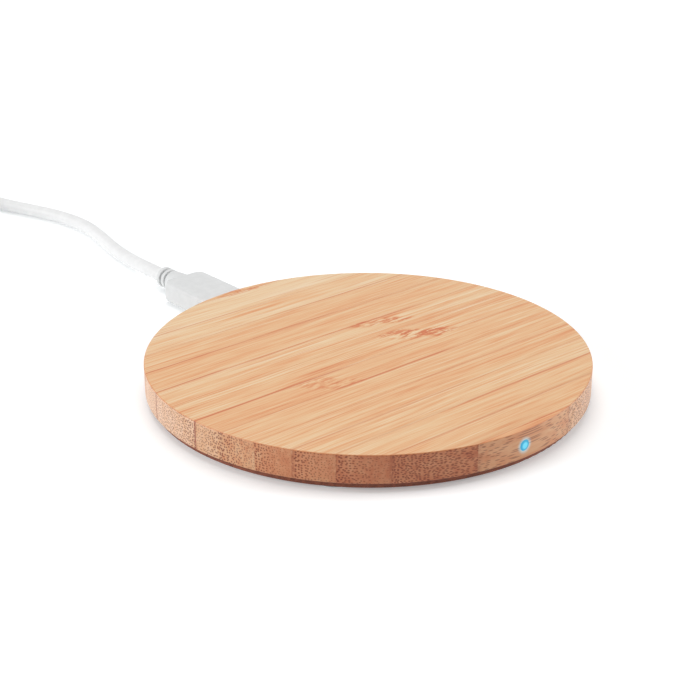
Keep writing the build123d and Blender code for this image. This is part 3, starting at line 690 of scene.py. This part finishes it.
def cut_away(piece, tools):
    """Takes each tool that meets the piece out of it, for good."""
    low = Vector(min(v.co[i] for v in piece.data.vertices) for i in range(3))
    high = Vector(max(v.co[i] for v in piece.data.vertices) for i in range(3))
    for tool in tools:
        tool_low = Vector(min(v.co[i] for v in tool.data.vertices) for i in range(3))
        tool_high = Vector(max(v.co[i] for v in tool.data.vertices) for i in range(3))
        if all(tool_low[i] < high[i] and low[i] < tool_high[i] for i in range(3)):
            cut = piece.modifiers.new("cut", "BOOLEAN")
            cut.operation = "DIFFERENCE"
            cut.solver = "EXACT"
            cut.object = tool
    if piece.modifiers:
        graph = bpy.context.evaluated_depsgraph_get()
        cut_mesh = bpy.data.meshes.new_from_object(piece.evaluated_get(graph))
        piece.modifiers.clear()
        piece.data = cut_mesh


# ---------------------------------------------------------------- the bamboo slats
def slat_piece(index, name, disc, tools):
    """One slat: the disc cut and chamfered at its seams, with the cutters taken out."""
    low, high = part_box(name)
    first, last = index == 0, index == len(SLAT_NAMES) - 1
    made = disc.copy()
    for seam_y, way, skipped in ((low.y + SEAM_GAP, -1, first), (high.y - SEAM_GAP, 1, last)):
        if skipped:
            continue
        everything = made.verts[:] + made.edges[:] + made.faces[:]
        bmesh.ops.bisect_plane(made, geom=everything, plane_co=(0, seam_y - way * SEAM_CHAMFER, 0),
                               plane_no=(0, way, 0))
        everything = made.verts[:] + made.edges[:] + made.faces[:]
        bmesh.ops.bisect_plane(made, geom=everything, plane_co=(0, seam_y, 0), plane_no=(0, way, 0),
                               clear_outer=True)
        open_edges = [edge for edge in made.edges if edge.is_boundary]
        bmesh.ops.holes_fill(made, edges=open_edges, sides=0)
        for vert in made.verts:
            if abs(vert.co.y - seam_y) < ON_SEAM:
                vert.co.z = min(vert.co.z, TOP_Z - SEAM_CHAMFER)
    bmesh.ops.recalc_face_normals(made, faces=made.faces)
    look = bamboo(index, low.y, high.y)
    piece = add_mesh(f"{name}_wood", made, "pad", "bamboo", look, name)
    cut_away(piece, tools)
    smooth(piece.data)


disc = turned(disc_outline(), TURN_SEGMENTS)
tools = [as_object(f"tool_{i}", made) for i, made in enumerate(cutters())]
for index, name in enumerate(SLAT_NAMES):
    slat_piece(index, name, disc, tools)
disc.free()
for tool in tools:
    bpy.data.objects.remove(tool)


# ---------------------------------------------------------------- the CAD nodes that stay
for row in frame["record"]["subparts"]:
    node = NODES[row["node"]]
    material_slot = row["material_slot"]
    if material_slot in PLAIN:
        node.data.materials.clear()
        node.data.materials.append(PLAIN[material_slot])


# ---------------------------------------------------------------- the cord
def coil_points():
    """The wound-up length: a layer of turns inwards, a climb, and a layer outwards on top."""
    roundness = (1 + math.cos(math.pi / COIL_STEPS)) / 2  # a spline runs this far inside its points
    points = []
    total_turns = LOWER_TURNS + CLIMB_TURNS + UPPER_TURNS
    for i in range(1, int(total_turns * COIL_STEPS) + 1):
        turns = i / COIL_STEPS
        if turns <= LOWER_TURNS:
            radius = COIL_OUTER_R + (COIL_INNER_R - COIL_OUTER_R) * turns / LOWER_TURNS
            height = LOWER_Z
            off_tie = abs((360 * turns - TIE_ANGLE + 180) % 360 - 180)
            if off_tie < TIE_LIFT_SPAN:
                height += TIE_LIFT * min(1.0, 2 * (1 - off_tie / TIE_LIFT_SPAN))
        elif turns <= LOWER_TURNS + CLIMB_TURNS:
            radius = COIL_INNER_R
            height = LOWER_Z + (UPPER_Z - LOWER_Z) * (turns - LOWER_TURNS) / CLIMB_TURNS
        else:
            share = (turns - LOWER_TURNS - CLIMB_TURNS) / UPPER_TURNS
            radius = COIL_INNER_R + (COIL_LAST_R - COIL_INNER_R) * share
            height = UPPER_Z
        angle = 2 * math.pi * turns
        points.append((COIL_MIDDLE[0] + radius / roundness * math.cos(angle),
                       COIL_MIDDLE[1] + radius / roundness * math.sin(angle), height))
    return points


def cord_piece():
    curve = bpy.data.curves.new("charging_cord", "CURVE")
    curve.dimensions = "3D"
    spline = curve.splines.new("NURBS")
    points = LEAD_ROUTE + coil_points() + TAIL
    spline.points.add(len(points) - 1)
    for point, place in zip(spline.points, points):
        point.co = (*(part * MM for part in place), 1.0)
    spline.order_u = CORD_ORDER
    spline.use_endpoint_u = True
    spline.resolution_u = CORD_RESOLUTION
    curve.bevel_depth = CORD_R
    curve.bevel_resolution = CORD_BEVEL_STEPS
    curve.use_fill_caps = True
    piece = bpy.data.objects.new("charging_cord", curve)
    bpy.context.scene.collection.objects.link(piece)
    piece.data.materials.append(PLAIN["cord_white"])
    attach(piece, "cable")
    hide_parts("cord_lead", "cord_wound", "cord_tail")
    return piece


# ---------------------------------------------------------------- the strap round the turns
def strap_outline(out):
    """The bundle's outline, across and up, that far outside its turns."""
    corner = TIE_CORNER_R + out
    left, right = COIL_MEAN_R - BUNDLE_W / 2 - out, COIL_MEAN_R + BUNDLE_W / 2 + out
    low, high = TIE_T - out, BUNDLE_H + out
    middles = [(right - corner, low + corner, -90), (right - corner, high - corner, 0),
               (left + corner, high - corner, 90), (left + corner, low + corner, 180)]
    outline = []
    for across, up, start in middles:
        for i in range(STRAP_CORNER_STEPS + 1):
            turn = math.radians(start + 90 * i / STRAP_CORNER_STEPS)
            outline.append((across + corner * math.cos(turn), up + corner * math.sin(turn)))
    return outline


def strap_layer(made, inside, outside, width, first, last):
    """A soft-edged band between two distances outside the bundle; a closed one if first is None."""
    soft = STRAP_EDGE
    section = [(inside + soft, -width / 2), (outside - soft, -width / 2),
               (outside, -width / 2 + soft), (outside, width / 2 - soft),
               (outside - soft, width / 2), (inside + soft, width / 2),
               (inside, width / 2 - soft), (inside, -width / 2 + soft)]
    turn = math.radians(TIE_ANGLE)
    rows = []
    for out, along in section:
        row = []
        for across, up in strap_outline(out)[first:last]:
            x = COIL_MIDDLE[0] + across * math.cos(turn) - along * math.sin(turn)
            y = COIL_MIDDLE[1] + across * math.sin(turn) + along * math.cos(turn)
            row.append(made.verts.new((x * MM, y * MM, up * MM)))
        rows.append(row)
    count = len(rows[0])
    for k in range(len(rows)):
        here, beyond = rows[k], rows[(k + 1) % len(rows)]
        for i in range(count if first is None else count - 1):
            j = (i + 1) % count
            made.faces.new((here[i], here[j], beyond[j], beyond[i]))
    if first is not None:
        made.faces.new([row[0] for row in rows])
        made.faces.new([row[-1] for row in reversed(rows)])


def strap_piece():
    """A hook-and-loop strap: one loop round the turns and its free end lying over it."""
    made = bmesh.new()
    strap_layer(made, 0.0, TIE_T, TIE_W, None, None)
    corner = STRAP_CORNER_STEPS + 1
    strap_layer(made, TIE_T, TIE_T + STRAP_END_T, TIE_W - STRAP_END_INSET,
                corner, 3 * corner - 2)
    bmesh.ops.recalc_face_normals(made, faces=made.faces)
    piece = add_mesh("cord_tie_strap", made, "cable", "tie_fabric", PLAIN["tie_fabric"], "cord_tie")
    smooth(piece.data, STRAP_SMOOTH_ANGLE)
    return piece


cord = cord_piece()
ON_CORD = [NODES[name] for name in sorted(NODES) if name.startswith(("plug_", "usb_a_"))]
ON_CORD.append(strap_piece())


# ---------------------------------------------------------------- floor, light and camera
FLOOR_Z = -0.02 * MM  # just under the feet
FLOOR_HALF = 12.0
FLOOR_WHITE = (0.78, 0.78, 0.78, 1.0)
FLOOR_GLOW = 0.31  # the floor is a lit white table, so that shadows on it stay pale
FLOOR_GLOW_TINT = (0.94, 0.985, 1.0, 1.0)
WORLD_LIGHT = 0.1
WORLD_IN_GLOSS = 0.55
BACKDROP = 1.0
SUN_FROM = (0.1, 0.2, 0.9)
SUN_WIDTH = 48  # degrees
SUN_STRENGTH = 1.78
SOFTBOX_SIZE = (1.25, 1.0)
LEFT_FROM = (-1.62, 0.94, 0.75)
LEFT_POWER = 27.0
RIGHT_FROM = (1.62, -0.94, 0.75)
RIGHT_POWER = 24.0
CAMERA_PLACE = (-0.20707, -0.23302, 0.14547)
CAMERA_TILT = 66.30  # degrees up from straight down
CAMERA_TURN = -40.9  # degrees about Z, from looking along +Y
CAMERA_LENS = 79.62
SENSOR_WIDTH = 36.0


def floor_piece():
    made = bmesh.new()
    bmesh.ops.create_grid(made, x_segments=1, y_segments=1, size=FLOOR_HALF,
                          matrix=Matrix.Translation((0, 0, FLOOR_Z)))
    mesh = bpy.data.meshes.new("floor")
    made.to_mesh(mesh)
    made.free()
    floor = bpy.data.objects.new("floor", mesh)
    bpy.context.scene.collection.objects.link(floor)
    look = Look("floor_white")
    look.set(Base_Color=FLOOR_WHITE, Roughness=0.9, Specular_IOR_Level=0.1,
             Emission_Color=FLOOR_GLOW_TINT, Emission_Strength=FLOOR_GLOW)
    mesh.materials.append(look.material)


def softbox(name, place, power):
    """A white panel of light that faces the pad."""
    light = bpy.data.lights.new(name, "AREA")
    light.shape = "RECTANGLE"
    light.size, light.size_y = SOFTBOX_SIZE
    light.energy = power
    lamp = bpy.data.objects.new(name, light)
    lamp.location = place
    lamp.rotation_euler = (-Vector(place)).to_track_quat("-Z", "Y").to_euler()
    bpy.context.scene.collection.objects.link(lamp)


def sun(place, angle, strength):
    """Soft light from far away, from the direction of place."""
    light = bpy.data.lights.new("sun", "SUN")
    light.angle = angle
    light.energy = strength
    lamp = bpy.data.objects.new("sun", light)
    lamp.rotation_euler = (-Vector(place)).to_track_quat("-Z", "Y").to_euler()
    bpy.context.scene.collection.objects.link(lamp)


def world_light(strength, in_gloss):
    """Dim light from all round, brighter where gloss and metal mirror it, with a white backdrop."""
    world = bpy.data.worlds.new("studio")
    bpy.context.scene.world = world
    world.use_nodes = True
    nodes, links = world.node_tree.nodes, world.node_tree.links
    background = nodes["Background"]
    background.inputs["Color"].default_value = (1.0, 1.0, 1.0, 1.0)
    ray = nodes.new("ShaderNodeLightPath")
    level = strength
    for kind, brightness in (("Is Glossy Ray", in_gloss), ("Is Camera Ray", BACKDROP)):
        chosen = nodes.new("ShaderNodeMapRange")
        links.new(ray.outputs[kind], chosen.inputs["Value"])
        if isinstance(level, bpy.types.NodeSocket):
            links.new(level, chosen.inputs["To Min"])
        else:
            chosen.inputs["To Min"].default_value = level
        chosen.inputs["To Max"].default_value = brightness
        level = chosen.outputs["Result"]
    links.new(level, background.inputs["Strength"])


floor_piece()
world_light(WORLD_LIGHT, WORLD_IN_GLOSS)
sun(SUN_FROM, math.radians(SUN_WIDTH), SUN_STRENGTH)
softbox("left", LEFT_FROM, LEFT_POWER)
softbox("right", RIGHT_FROM, RIGHT_POWER)

camera_data = bpy.data.cameras.new("camera")
camera_data.lens = CAMERA_LENS
camera_data.sensor_width = SENSOR_WIDTH
camera = bpy.data.objects.new("camera", camera_data)
camera.location = CAMERA_PLACE
camera.rotation_euler = (math.radians(CAMERA_TILT), 0.0, math.radians(CAMERA_TURN))
bpy.context.scene.collection.objects.link(camera)
bpy.context.scene.camera = camera
bpy.context.scene.view_settings.view_transform = "Standard"
